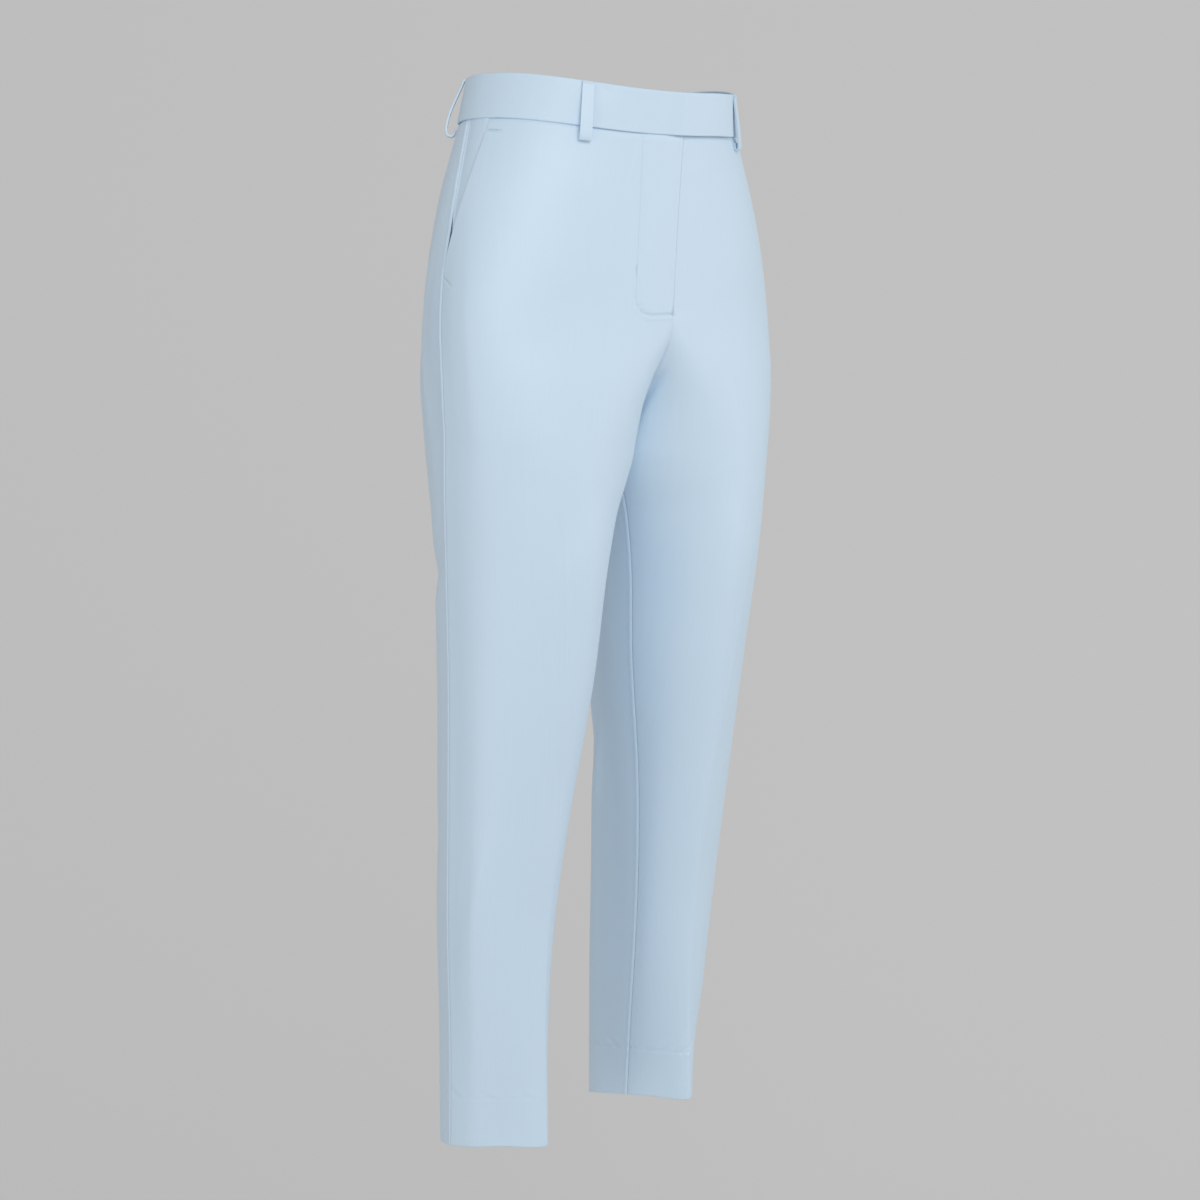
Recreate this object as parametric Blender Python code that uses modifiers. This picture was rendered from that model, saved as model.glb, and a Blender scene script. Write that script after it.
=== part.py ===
"""Straight-leg trousers: high-rise, slim, ankle length, filled out as if worn.

The cloth is a ring round the body at each height.  Down to the crotch one ring goes round
both hips; below it each leg has its own.  Each half is cut into the panels that a maker
sews: front, back, pocket facing and waistband, with belt loops on top.

Frame: +Z up, -Y front, -X the wearer's right.  The origin is the centre of the waist, at
half the waistband's height.  Sizes are in millimetres here and in metres in the meshes.
"""

from math import pi, radians

import bpy
import numpy as np

MM = 0.001
NAME = "straight_leg_trousers"

# ---------------------------------------------------------------- driving sizes, mm
LENGTH = 950.0  # top of the waistband to the hem, at the side
RISE = 325.0  # top of the waistband to the crotch
BAND = 38.0  # height of the waistband
CLOTH = 1.2  # one layer of the cloth
BAND_THICK = 2.4  # two layers
BAND_PROUD = 0.8  # how far the waistband's face stands out from the panels
SEAM = 0.3  # clearance between two pieces at a seam

WAIST_DIP = 0.0016  # the front of the waist dips below its sides, per mm
WAIST_BACK_DIP = 0.0006  # and its back, less
TILT_END = 220.0  # drop where the dip has faded out
HEM_TILT = 0.16  # the hem falls toward the heel
HEM_DIP = 6.5  # and dips at the creases
HEM_START = 780.0

LEAN_DOWN = 8.0  # the wearer's left side of the waist hangs this much lower
LEAN_IN = 4.0  # and this much closer to the middle
LEAN_ACROSS = (30.0, 125.0)  # x over which it comes in
LEAN_UP = (-140.0, 10.0)  # z over which it comes in

FRONT_VALLEY = (205.0, 1.3, 4.0)  # crotch hollow: drop where it starts, how softly, how fast
BACK_VALLEY = (160.0, 2.9, 2.0)

CREASE = 0.45  # the pressed crease's place across a panel, from its inner edge
CREASE_TURNS = (60.0, 400.0)  # drops between which it moves onto the leg's edge

POCKET_TOP_TURN = radians(174)  # pocket mouth at the waist seam
POCKET_DEPTH = 174.0  # its lower end, on the side seam
POCKET_UNDER = 24.0  # how far the facing runs on behind the mouth
FACING_SINK = 1.9

FLY_END = 206.0  # lower end of the fly
FLY_LAP = 5.0  # the right front laps over the left front
FLY_SINK = 1.6  # and the left front lies this much lower there
FLY_FADE = 22.0  # width over which it comes back up
TAB_LENGTH = 83.0  # the right waistband's tab past the centre
TAB_RAMP = 24.0

LOOP_WIDTH = 10.0
LOOP_THICK = 1.6
LOOP_GAP = 8.5  # the loop's slot, waistband to strap
LOOP_END = 53.0

# Half widths and depths of the rings (mm), by drop below the top of the waistband.
# bend < 1 is a flattened oval, bend > 1 a ring with a crease at its front and back.
RINGS = (
    # drop  out  front  back  middle  bend
    (0, 136, -97, 93, 10, 0.85),
    (40, 147, -92, 99, 9, 0.85),
    (100, 168, -87, 113, 2, 0.85),
    (160, 182, -83, 122, -7, 0.85),
    (220, 189, -80, 124, -13, 0.90),
    (265, 188, -79, 118, -16, 0.95),
    (300, 185, -78, 110, -16, 1.00),
    (325, 182, -77, 105, -13, 1.00),
    (350, 180, -76, 101, -10, 1.05),
    (420, 174, -73, 96, -4, 1.10),
    (520, 167, -60, 100, 1, 1.20),
    (640, 162, -38, 106, 8, 1.30),
    (760, 157, -20, 111, 17, 1.40),
    (860, 149, -14, 113, 27, 1.45),
    (950, 143, -12, 114, 38, 1.50),
)

# Where each half ring is centred, its inner side below the crotch, and how its inner
# quarters bend: square < 1 fills the corner between the crease and the other leg.
LEGS = (
    # drop  centre  inner  bend  square
    (0, 0, 0, 0.85, 1.00),
    (190, 0, 0, 0.85, 1.00),
    (220, 15, 0, 0.82, 0.98),
    (255, 50, 0, 0.78, 0.97),
    (290, 75, 0, 0.88, 0.97),
    (325, 89, 0, 1.03, 1.00),
    (350, 94, 7, 1.08, 1.00),
    (380, 96, 19, 1.16, 1.00),
    (420, 96, 29, 1.16, 1.00),
    (520, 95, 39, 1.20, 1.00),
    (640, 95, 57, 1.30, 1.00),
    (760, 97, 66, 1.40, 1.00),
    (860, 96, 69, 1.45, 1.00),
    (950, 96, 71, 1.50, 1.00),
)

# The seams' places on the ring, in degrees: 0 inside, 90 front, 180 outside, 270 back.
SEAMS = (
    # drop  side  inseam
    (0, 188, 0),
    (100, 188, 0),
    (220, 192, 0),
    (325, 196, 0),
    (420, 198, -1),
    (640, 199, -3),
    (860, 197, -4),
    (950, 196, -2),
)

# The largest folds.  run is across the panel, 0 at its inner edge and 1 at its outer one.
FOLDS = (
    # panel         drop0 run0  drop1 run1  width  height
    ("back_right", 120, 0.86, 330, 0.80, 9.0, 2.2),
    ("back_right", 150, 0.70, 360, 0.62, 10.0, 1.8),
    ("back_right", 400, 0.95, 470, 0.30, 15.0, -3.5),
    ("back_right", 600, 0.15, 690, 0.75, 18.0, -3.0),
    ("back_left", 130, 0.82, 340, 0.76, 9.0, 2.0),
    ("back_left", 160, 0.64, 350, 0.58, 10.0, 1.6),
    ("back_left", 410, 0.90, 465, 0.30, 15.0, -3.0),
    ("back_left", 560, 0.15, 680, 0.60, 16.0, -2.5),
    ("front_right", 335, 0.10, 420, 0.55, 14.0, -2.0),
    ("front_left", 340, 0.10, 430, 0.60, 14.0, -2.2),
)

LOOPS = (
    # name       side  turn at the top, and at the foot
    ("front_right", -1, 131, 129),
    ("front_left", 1, 124, 126),
    ("back_right", -1, 214, 214),
    ("back_left", 1, 214, 214),
    ("back_centre", 1, 270, 270),
)


# ---------------------------------------------------------------- the ring surface
def smooth_step(value, low, high):
    t = np.clip((value - low) / (high - low), 0.0, 1.0)
    return t * t * (3.0 - 2.0 * t)


def through(table, name_index, drop):
    """Smooth curve through one column of a table, without overshoot."""
    rows = np.array(table, dtype=float)
    x, y = rows[:, 0], rows[:, name_index]
    h, s = np.diff(x), np.diff(y) / np.diff(x)
    slope = np.empty_like(y)
    slope[0], slope[-1] = s[0], s[-1]
    product = s[:-1] * s[1:]
    mean = (s[:-1] * h[1:] + s[1:] * h[:-1]) / (h[1:] + h[:-1])
    limit = 3.0 * np.minimum(np.abs(s[:-1]), np.abs(s[1:]))
    slope[1:-1] = np.where(product > 0, np.sign(mean) * np.minimum(np.abs(mean), limit), 0)
    drop = np.asarray(drop, dtype=float)
    i = np.clip(np.searchsorted(x, drop) - 1, 0, len(h) - 1)
    t = np.clip((drop - x[i]) / h[i], 0.0, 1.0)
    a, b = y[i], y[i + 1]
    p, q = slope[i] * h[i], slope[i + 1] * h[i]
    return a + t * (p + t * (3 * (b - a) - 2 * p - q + t * (2 * (a - b) + p + q)))


def hollow(drop, start, soft, firm):
    """0 where the two hips are one ring, 1 at the crotch."""
    t = np.clip((drop - start) / (RISE - start), 0.0, 1.0)
    return 1.0 - (1.0 - t**soft) ** firm


def inner_turn(drop, back=False):
    """Where the ring meets the centre seam, or the inseam below the crotch."""
    bend = through(LEGS, 3, drop)
    if back:
        k = hollow(drop, *BACK_VALLEY)
        centre = 2 * pi - np.arccos(k ** (1 / bend))
        below = 2 * pi + np.radians(through(SEAMS, 2, drop))
    else:
        k = hollow(drop, *FRONT_VALLEY)
        centre = np.arccos(k ** (1 / bend))
        below = np.radians(through(SEAMS, 2, drop))
    return np.where(drop < RISE, centre, below)


def side_turn(drop):
    return np.radians(through(SEAMS, 1, drop))


def skin(drop, turn):
    """Outer face of the cloth on the wearer's right, as x, y, z in mm."""
    drop, turn = np.broadcast_arrays(np.asarray(drop, float), np.asarray(turn, float))
    out, front, back, middle, bend = (through(RINGS, k, drop) for k in range(1, 6))
    centre, inner = through(LEGS, 1, drop), through(LEGS, 2, drop)
    c, s = np.cos(turn), np.sin(turn)
    bend = np.where(c > 0, through(LEGS, 3, drop), bend)
    square = np.where(c > 0, through(LEGS, 4, drop), 1.0)
    k_front = hollow(drop, *FRONT_VALLEY)
    k_back = hollow(drop, *BACK_VALLEY)
    k = np.maximum(np.where(s > 0, k_front, k_back), 0.02)
    toward_inside = np.where(drop < RISE, centre / k, centre - inner)
    reach = np.where(c > 0, toward_inside, out - centre)
    x = -centre + reach * np.sign(c) * np.abs(c) ** bend
    x = np.where(drop < RISE, np.minimum(x, 0.0), x)
    depth = np.where(s > 0, middle - front, back - middle)
    y = middle - depth * np.sign(s) * np.abs(s) ** square
    high = 1.0 - smooth_step(drop, BAND, TILT_END)
    low = smooth_step(drop, HEM_START, LENGTH)
    z = BAND / 2 - drop
    z = z - high * np.where(y < 0, WAIST_DIP, WAIST_BACK_DIP) * y * y
    z = z - low * (HEM_TILT * (y - middle) + HEM_DIP * s * s)
    return np.stack([x, y, z], -1)


def leaned(points):
    """Lower the wearer's left side of the waist and draw it in, softly."""
    much = smooth_step(points[..., 0], *LEAN_ACROSS) * smooth_step(points[..., 2], *LEAN_UP)
    return points - much[..., None] * np.array([LEAN_IN, 0.0, LEAN_DOWN])


def outward(drop, turn):
    """Unit normal of the skin, pointing out of the cloth's tube."""
    d, a = 1.5, 0.02
    across = skin(drop, turn + a) - skin(drop, turn - a)
    down = skin(drop + d, turn) - skin(np.maximum(drop - d, 0.0), turn)
    n = np.cross(across, down)
    return n / np.linalg.norm(n, axis=-1, keepdims=True)


def arc(drop, turn, length):
    """Turn reached by going length mm round the ring, toward the back."""
    for _ in range(4):  # in short steps, because the ring's curve changes
        step = all_round(drop, turn + 0.01)[0] - all_round(drop, turn - 0.01)[0]
        turn = turn + length / 4 * 0.02 / np.linalg.norm(step, axis=-1)
    return turn


def all_round(drop, turn):
    """Skin and normal above the crotch, also past the centre front and centre back."""
    drop, turn = np.broadcast_arrays(np.asarray(drop, float), np.asarray(turn, float))
    past = (turn < pi / 2) | (turn > 1.5 * pi)
    same = np.where(turn < pi / 2, pi - turn, np.where(turn > 1.5 * pi, 3 * pi - turn, turn))
    flip = np.where(past[..., None], np.array([-1.0, 1.0, 1.0]), 1.0)
    return skin(drop, same) * flip, outward(drop, same) * flip


# ---------------------------------------------------------------- panels
def rows_between(*stretches):
    """Drops from stretches of (start, end, count), joined end to end."""
    parts = [np.linspace(a, b, n, endpoint=False) for a, b, n in stretches]
    return np.append(np.concatenate(parts), stretches[-1][1])


def pocket_mouth(drop):
    """Turn of the slanted pocket mouth, from the waist seam to the side seam."""
    t = np.clip((drop - BAND) / (POCKET_DEPTH - BAND), 0.0, 1.0)
    return side_turn(drop) - (side_turn(drop) - POCKET_TOP_TURN) * (1.0 - t) ** 1.2


def fold_height(name, drop, run):
    """Sum of the panel's soft ridges (+) and troughs (-), zero at its edges."""
    total = np.zeros_like(run)
    for panel, d0, r0, d1, r1, width, height in FOLDS:
        if panel != name:
            continue
        wide = 170.0  # a panel's width in mm, near enough to aim a fold
        ax, ay = r0 * wide, d0
        bx, by = r1 * wide, d1
        px, py = run * wide, drop
        length = (bx - ax) ** 2 + (by - ay) ** 2
        t = ((px - ax) * (bx - ax) + (py - ay) * (by - ay)) / length
        t = np.clip(t, 0.0, 1.0)
        gap = np.hypot(px - ax - t * (bx - ax), py - ay - t * (by - ay))
        total += height * np.exp(-((gap / width) ** 2)) * np.sin(pi * np.clip(t, 0.08, 0.92))
    return total * smooth_step(run, 0.0, 0.12) * (1.0 - smooth_step(run, 0.88, 1.0))


def across(drop, run, inner, edge, crease_at_waist, crease_on_leg):
    """Turn at a run from the panel's inner edge (0) to its outer edge (1)."""
    leg = smooth_step(drop, *CREASE_TURNS)
    crease = np.radians(crease_at_waist + (crease_on_leg - crease_at_waist) * leg)
    return np.where(
        run < CREASE, inner + (crease - inner) * run / CREASE,
        crease + (edge - crease) * (run - CREASE) / (1 - CREASE))


def cut_from_seams(points, drop, turn, low, high):
    """Move a panel's two side edges half a seam's clearance off the seams."""
    along = skin(drop, turn + 0.01) - skin(drop, turn - 0.01)
    along /= np.linalg.norm(along, axis=-1, keepdims=True)
    points[:, 0] += low * along[:, 0]
    points[:, -1] += high * along[:, -1]
    return points


def closer_at_ends(count):
    """Steps from 0 to 1 that are shorter at both ends."""
    t = np.linspace(0.0, 1.0, count + 1)
    return t - 0.5 * np.sin(2 * pi * t) / (2 * pi)


PANEL_ROWS = rows_between(
    (BAND + SEAM, 120, 4), (120, 250, 7), (250, 310, 7), (310, 325, 4),
    (325, 350, 4), (350, 480, 6), (480, 800, 9), (800, LENGTH, 5))
PANEL_RUNS = np.append(CREASE * closer_at_ends(6)[:-1],
                       CREASE + (1 - CREASE) * closer_at_ends(8))


def front_points(side):
    name = "front_right" if side < 0 else "front_left"
    drop, run = np.meshgrid(PANEL_ROWS, PANEL_RUNS, indexing="ij")
    edge = np.where(drop < POCKET_DEPTH, pocket_mouth(drop), side_turn(drop))
    turn = across(drop, run, inner_turn(drop), edge, 132, 90)
    points = skin(drop, turn)
    half = SEAM / 2
    points = cut_from_seams(points, drop, turn, SEAM, -half)
    out = outward(drop, turn)
    lift = fold_height(name, drop, run)
    on_fly = 1.0 - smooth_step(drop, FLY_END + 4, FLY_END + 18)
    if side > 0:
        near = np.exp(-((points[..., 0] / FLY_FADE) ** 2))
        lift = lift - FLY_SINK * on_fly * near
    points = points + out * lift[..., None]
    if side < 0:
        lap = FLY_LAP * (1.0 - smooth_step(drop[:, 0], FLY_END - 10, FLY_END))
        points[:, 0, 0] += lap
    points[..., 0] = np.where(
        drop < RISE, np.minimum(points[..., 0], FLY_LAP if side < 0 else -half), points[..., 0])
    inner = (drop[:, 0] >= FLY_END) & (drop[:, 0] <= RISE)
    points[inner, 0, 0] = -half
    return points


def back_points(side):
    name = "back_right" if side < 0 else "back_left"
    drop, run = np.meshgrid(PANEL_ROWS, PANEL_RUNS[::-1], indexing="ij")
    turn = across(drop, run, inner_turn(drop, back=True), side_turn(drop), 228, 270)
    points = skin(drop, turn)
    half = SEAM / 2
    points = cut_from_seams(points, drop, turn, half, -SEAM)
    points = points + outward(drop, turn) * fold_height(name, drop, run)[..., None]
    inner = drop[:, -1] <= RISE
    points[..., 0] = np.where(drop < RISE, np.minimum(points[..., 0], -half), points[..., 0])
    points[inner, -1, 0] = -half
    return points


def facing_points():
    """The cloth seen behind the pocket mouth, from under the front to the side seam."""
    drops = rows_between((BAND + SEAM, POCKET_DEPTH + 8, 12))
    drop, run = np.meshgrid(drops, np.linspace(0, 1, 6), indexing="ij")
    edge = side_turn(drop)
    start = arc(drop, pocket_mouth(drop), -POCKET_UNDER)
    turn = start + (edge - start) * run
    points = cut_from_seams(skin(drop, turn), drop, turn, 0.0, -SEAM / 2)
    return points - outward(drop, turn) * FACING_SINK


def band_points(side):
    """Half the waistband; the right one runs past the centre front as a tab."""
    drops = np.array([0.0, BAND / 2, BAND])
    turns = np.linspace(pi / 2, 1.5 * pi, 31)
    if side < 0:
        reach = np.linspace(-TAB_LENGTH, 0.0, 11)[:-1]
        turns = np.append(arc(np.full(10, BAND / 2), np.full(10, pi / 2), reach), turns)
    drop, turn = np.meshgrid(drops, turns, indexing="ij")
    points, out = all_round(drop, turn)
    lift = np.full(drop.shape, BAND_PROUD)
    if side < 0:
        front = turn < pi
        ramp = 1.0 - smooth_step(-points[..., 0], 1.0, TAB_RAMP)
        lift += np.where(front, (BAND_THICK + SEAM) * ramp, 0.0)
    points = points + out * lift[..., None]
    points[:, -1, 0] = -SEAM / 2
    if side > 0:
        points[:, 0, 0] = -SEAM / 2
    return points


def loop_points(top, foot):
    """A strap that stands off the waistband, by drop and height of its outer face."""
    touch = BAND_PROUD + SEAM + LOOP_THICK
    stand = BAND_PROUD + LOOP_GAP + LOOP_THICK
    profile = np.array([
        # drop  height
        (1.0, touch), (5.0, touch), (8.0, 0.35 * touch + 0.65 * stand), (13.0, stand),
        (22.0, stand + 0.6), (31.0, stand), (38.0, 0.6 * stand + 0.4 * touch),
        (43.0, touch), (LOOP_END, touch - 0.5)])
    middle = np.radians(top + (foot - top) * profile[:, 0] / LOOP_END)
    edges = [arc(profile[:, 0], middle, w) for w in (-LOOP_WIDTH / 2, 0.0, LOOP_WIDTH / 2)]
    turn = np.stack(edges, axis=1)
    drop = np.repeat(profile[:, :1], 3, axis=1)
    points, out = all_round(drop, turn)
    return points + out * profile[:, 1][:, None, None]


# ---------------------------------------------------------------- meshes
def material(name, colour, roughness):
    mat = bpy.data.materials.new(name)
    mat.use_nodes = True
    shader = mat.node_tree.nodes["Principled BSDF"]
    shader.inputs["Base Color"].default_value = (*colour, 1.0)
    shader.inputs["Roughness"].default_value = roughness
    shader.inputs["Metallic"].default_value = 0.0
    mat.diffuse_color = (*colour, 1.0)
    return mat


def sheet(name, grid, side, thickness, colour, folder):
    """A grid of points as an open surface, made solid toward the body."""
    points = np.array(grid)
    if side > 0:
        points[..., 0] *= -1
    points = leaned(points)
    rows, columns = points.shape[:2]
    index = np.arange(rows * columns).reshape(rows, columns)
    corners = [index[:-1, :-1], index[:-1, 1:], index[1:, 1:], index[1:, :-1]]
    if side > 0:
        corners.reverse()
    faces = np.stack(corners, -1).reshape(-1, 4)
    mesh = bpy.data.meshes.new(name)
    mesh.from_pydata((points.reshape(-1, 3) * MM).tolist(), [], faces.tolist())
    mesh.shade_smooth()
    obj = bpy.data.objects.new(name, mesh)
    folder.objects.link(obj)
    mesh.materials.append(material(name + "_cloth", colour, 0.6))
    solid = obj.modifiers.new("Cloth", "SOLIDIFY")
    solid.thickness = thickness * MM
    solid.offset = -1.0
    return obj


def build():
    for obj in list(bpy.data.objects):
        bpy.data.objects.remove(obj, do_unlink=True)
    folder = bpy.data.collections.new(NAME)
    bpy.context.scene.collection.children.link(folder)
    panel, facing, band = (0.58, 0.71, 0.82), (0.54, 0.67, 0.78), (0.60, 0.73, 0.84)
    for side, word in ((-1, "right"), (1, "left")):
        sheet("front_" + word, front_points(side), side, CLOTH, panel, folder)
        sheet("back_" + word, back_points(side), side, CLOTH, panel, folder)
        sheet("pocket_facing_" + word, facing_points(), side, CLOTH, facing, folder)
        sheet("waistband_" + word, band_points(side), side, BAND_THICK, band, folder)
    for word, side, top, foot in LOOPS:
        sheet("belt_loop_" + word, loop_points(top, foot), side, LOOP_THICK, band, folder)


build()
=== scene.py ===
"""Pale blue high-rise trousers, filled out as if worn: cloth, sewing and studio.

Sizes are millimetres and degrees; MM turns them into the frame's metres.  The origin is
the centre of the waist, at half the waistband's depth; -Y is the front and -X the
wearer's right.  A place on the cloth is a drop, measured down from the waistband's top
edge, and a turn round the body: 0 inside the leg, 90 front, 180 outside, 270 back.
"""
from math import cos, pi, radians, sin

import bpy
import numpy as np
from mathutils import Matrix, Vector
from mathutils.bvhtree import BVHTree


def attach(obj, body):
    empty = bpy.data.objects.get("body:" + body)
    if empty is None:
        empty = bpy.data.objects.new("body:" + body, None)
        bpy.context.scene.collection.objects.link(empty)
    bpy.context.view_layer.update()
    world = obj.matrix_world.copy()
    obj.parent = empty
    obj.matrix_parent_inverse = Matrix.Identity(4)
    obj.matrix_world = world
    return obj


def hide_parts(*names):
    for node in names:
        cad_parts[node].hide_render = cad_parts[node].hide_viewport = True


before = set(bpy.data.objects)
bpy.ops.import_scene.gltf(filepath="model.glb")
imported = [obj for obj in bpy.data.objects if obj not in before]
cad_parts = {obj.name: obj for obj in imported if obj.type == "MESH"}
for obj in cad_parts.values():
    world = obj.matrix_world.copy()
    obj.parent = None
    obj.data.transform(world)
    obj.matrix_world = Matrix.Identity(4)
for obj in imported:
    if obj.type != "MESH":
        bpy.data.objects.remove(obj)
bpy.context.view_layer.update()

MM = 0.001


# ================================================================ the worn shape
# The trousers stand out round a body that isn't there.  Rings down the body give the
# shape that the cutter's darts, seams and pressing put into the flat cloth.
BAND = 38.0  # depth of the waistband
RISE = 325.0  # drop of the crotch
LENGTH = 950.0  # drop of the hem's fold
WAIST_DIP, WAIST_BACK_DIP = 0.0016, 0.0009  # the waist dips by this times y squared
TILT_END = 220.0  # drop where that dip has faded out
HEM_START, HEM_TILT, HEM_DIP = 780.0, 0.16, 6.5  # drop, slope to the back, and a dip
LEAN = (6.0, 5.5, 30.0, 125.0, -140.0, 10.0)  # down, in, over these x and these z
FRONT_VALLEY = (205.0, 1.3, 4.0)  # drop where it starts, and the two powers of hollow
BACK_VALLEY = (160.0, 2.9, 2.0)

RINGS = (
    # drop  out  front  back  middle  bend
    (0, 136, -97, 93, 10, 0.85),
    (40, 147, -92, 99, 9, 0.85),
    (100, 168, -87, 113, 2, 0.85),
    (160, 182, -83, 122, -7, 0.85),
    (220, 189, -80, 124, -13, 0.90),
    (265, 188, -79, 118, -16, 0.95),
    (300, 185, -78, 110, -16, 1.00),
    (325, 182, -77, 105, -13, 1.00),
    (350, 180, -76, 101, -10, 1.05),
    (420, 174, -73, 96, -4, 1.10),
    (520, 167, -60, 100, 1, 1.20),
    (640, 162, -38, 106, 8, 1.30),
    (760, 157, -20, 111, 17, 1.40),
    (860, 149, -14, 113, 27, 1.45),
    (950, 143, -12, 114, 38, 1.50),
)

LEGS = (
    # drop  centre  inner  bend  square: of the quarter ring toward the other leg
    (0, 0, 0, 0.85, 1.00),
    (190, 0, 0, 0.85, 1.00),
    (220, 15, 0, 0.82, 0.98),
    (255, 50, 0, 0.78, 0.97),
    (290, 75, 0, 0.88, 0.97),
    (325, 89, 0, 1.03, 1.00),
    (350, 94, 7, 1.08, 1.00),
    (380, 96, 19, 1.16, 1.00),
    (420, 96, 29, 1.16, 1.00),
    (520, 95, 39, 1.20, 1.00),
    (640, 95, 57, 1.30, 1.00),
    (760, 97, 66, 1.40, 1.00),
    (860, 96, 69, 1.45, 1.00),
    (950, 96, 71, 1.50, 1.00),
)

SEAMS = (
    # drop  side  inseam
    (0, 191.5, 0),
    (40, 190.5, 0),
    (90, 188.5, 0),
    (130, 189.5, 0),
    (175, 192.5, 0),
    (275, 193.5, 0),
    (325, 195.5, 0),
    (420, 198, -1),
    (640, 199, -3),
    (860, 197, -4),
    (950, 196, -2),
)


def smooth_step(value, low, high):
    """0 below low, 1 above high, and the curve 3t^2 - 2t^3 between them."""
    t = np.clip((value - low) / (high - low), 0.0, 1.0)
    return t * t * (3.0 - 2.0 * t)


def fade(value, low, high):
    """1 below low, falling to 0 at high along the same curve."""
    return 1.0 - smooth_step(value, low, high)


def through(table, column, drop):
    """A table's column at a drop: cubic between rows, flat where the rows turn back."""
    rows = np.array(table, dtype=float)
    x, y = rows[:, 0], rows[:, column]
    h, s = np.diff(x), np.diff(y) / np.diff(x)
    slope = np.concatenate([s[:1], np.zeros(len(s) - 1), s[-1:]])
    mean = (s[:-1] * h[1:] + s[1:] * h[:-1]) / (h[1:] + h[:-1])
    limit = 3.0 * np.minimum(np.abs(s[:-1]), np.abs(s[1:]))
    slope[1:-1] = np.where(s[:-1] * s[1:] > 0, np.sign(mean) * np.minimum(np.abs(mean), limit), 0)
    drop = np.asarray(drop, dtype=float)
    i = np.clip(np.searchsorted(x, drop) - 1, 0, len(h) - 1)
    t = np.clip((drop - x[i]) / h[i], 0.0, 1.0)
    a, b = y[i], y[i + 1]
    p, q = slope[i] * h[i], slope[i + 1] * h[i]
    return a + t * (p + t * (3 * (b - a) - 2 * p - q + t * (2 * (a - b) + p + q)))


def hollow(drop, start, soft, firm):
    """0 where both hips are one ring, rising to 1 at the crotch."""
    t = np.clip((drop - start) / (RISE - start), 0.0, 1.0)
    return 1.0 - (1.0 - t**soft) ** firm


def inner_turn(drop, back):
    """Turn of the centre seam, where the ring crosses x = 0, or of the inseam below it."""
    bend = through(LEGS, 3, drop)
    k = hollow(drop, *(BACK_VALLEY if back else FRONT_VALLEY))
    centre = np.arccos(k ** (1 / bend))
    inseam = np.radians(through(SEAMS, 2, drop))
    if back:
        centre, inseam = 2 * pi - centre, 2 * pi + inseam
    return np.where(drop < RISE, centre, inseam)


def side_turn(drop):
    """Turn of the side seam."""
    return np.radians(through(SEAMS, 1, drop))


def skin(drop, turn):
    """Cloth's outer face on the right: superellipse rings, tilted at waist and hem, in mm."""
    drop, turn = np.broadcast_arrays(np.asarray(drop, float), np.asarray(turn, float))
    out, front, back, middle, bend = (through(RINGS, k, drop) for k in range(1, 6))
    centre, inner = through(LEGS, 1, drop), through(LEGS, 2, drop)
    c, s = np.cos(turn), np.sin(turn)
    bend = np.where(c > 0, through(LEGS, 3, drop), bend)
    square = np.where(c > 0, through(LEGS, 4, drop), 1.0)
    k = np.where(s > 0, hollow(drop, *FRONT_VALLEY), hollow(drop, *BACK_VALLEY))
    toward_inside = np.where(drop < RISE, centre / np.maximum(k, 0.02), centre - inner)
    reach = np.where(c > 0, toward_inside, out - centre)
    x = -centre + reach * np.sign(c) * np.abs(c) ** bend
    x = np.where(drop < RISE, np.minimum(x, 0.0), x)
    y = middle - np.where(s > 0, middle - front, back - middle) * np.sign(s) * np.abs(s) ** square
    high = fade(drop, BAND, TILT_END)
    low = smooth_step(drop, HEM_START, LENGTH)
    z = BAND / 2 - drop - high * np.where(y < 0, WAIST_DIP, WAIST_BACK_DIP) * y * y
    z = z - low * (HEM_TILT * (y - middle) + HEM_DIP * s * s)
    return np.stack([x, y, z], -1)


def leaned(points):
    """The wearer's left side of the waist hangs lower and closer: a soft shift of x and z."""
    down, inward, x0, x1, z0, z1 = LEAN
    much = smooth_step(points[..., 0], x0, x1) * smooth_step(points[..., 2], z0, z1)
    return points - much[..., None] * np.array([inward, 0.0, down])


def outward(drop, turn):
    """Unit normal of the skin, from its differences across and down."""
    d, a = 1.5, 0.02
    across = skin(drop, turn + a) - skin(drop, turn - a)
    down = skin(drop + d, turn) - skin(np.maximum(drop - d, 0.0), turn)
    n = np.cross(across, down)
    return n / np.linalg.norm(n, axis=-1, keepdims=True)


def all_round(drop, turn):
    """Skin and normal above the crotch, mirrored past the centre front and centre back."""
    drop, turn = np.broadcast_arrays(np.asarray(drop, float), np.asarray(turn, float))
    past = (turn < pi / 2) | (turn > 1.5 * pi)
    same = np.where(turn < pi / 2, pi - turn, np.where(turn > 1.5 * pi, 3 * pi - turn, turn))
    flip = np.where(past[..., None], np.array([-1.0, 1.0, 1.0]), 1.0)
    return skin(drop, same) * flip, outward(drop, same) * flip


def arc(drop, turn, length):
    """Turn reached by going length mm round the ring, toward the back."""
    steps, a = 4, 0.01  # several steps, because the ring's curve changes
    for _ in range(steps):
        across = all_round(drop, turn + a)[0] - all_round(drop, turn - a)[0]
        turn = turn + length / steps * (2 * a) / np.linalg.norm(across, axis=-1)
    return turn


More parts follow.
